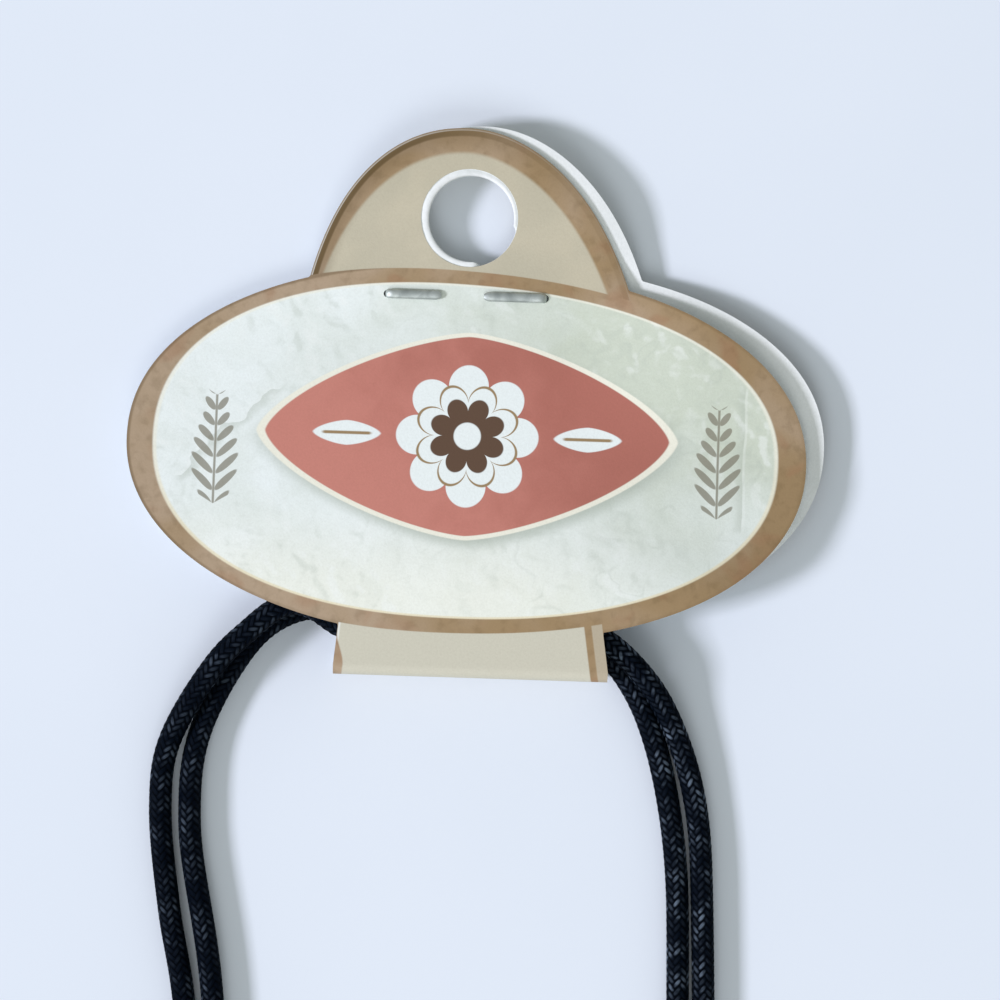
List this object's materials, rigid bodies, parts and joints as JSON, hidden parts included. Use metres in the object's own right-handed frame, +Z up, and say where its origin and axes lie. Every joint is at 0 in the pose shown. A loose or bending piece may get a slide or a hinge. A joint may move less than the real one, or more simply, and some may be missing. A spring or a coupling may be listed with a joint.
{
  "type": "cord necklace with cross pendant on a hang card",
  "caption": "Black braided cord necklace with a plain cross pendant and a barrel clasp, wound through a folded, stapled oval hang card with a domed top and a round hang hole.",
  "frame": {"origin": "on the surface that the necklace lies on, under the middle of the card and pendant together", "axes": "+Z up from the surface, +Y along the necklace towards the card's dome, +X to the right of the card's printed front"},
  "size_m": [0.0538, 0.157, 0.0048],
  "materials": {
    "card_board": "printed matt board, white on its back and cut edges",
    "staple_wire": "bright zinc-coated wire",
    "black_cord": "fine round braid with a waxed sheen",
    "clasp_metal": "satin grey metal",
    "pendant_metal": "satin pewter grey metal"
  },
  "bodies": {
    "root": {"hang_card": "card_board", "staple": "staple_wire", "necklace_cord": "black_cord", "cord_clasp": "clasp_metal", "cross_pendant": "pendant_metal"}
  },
  "joints": []
}
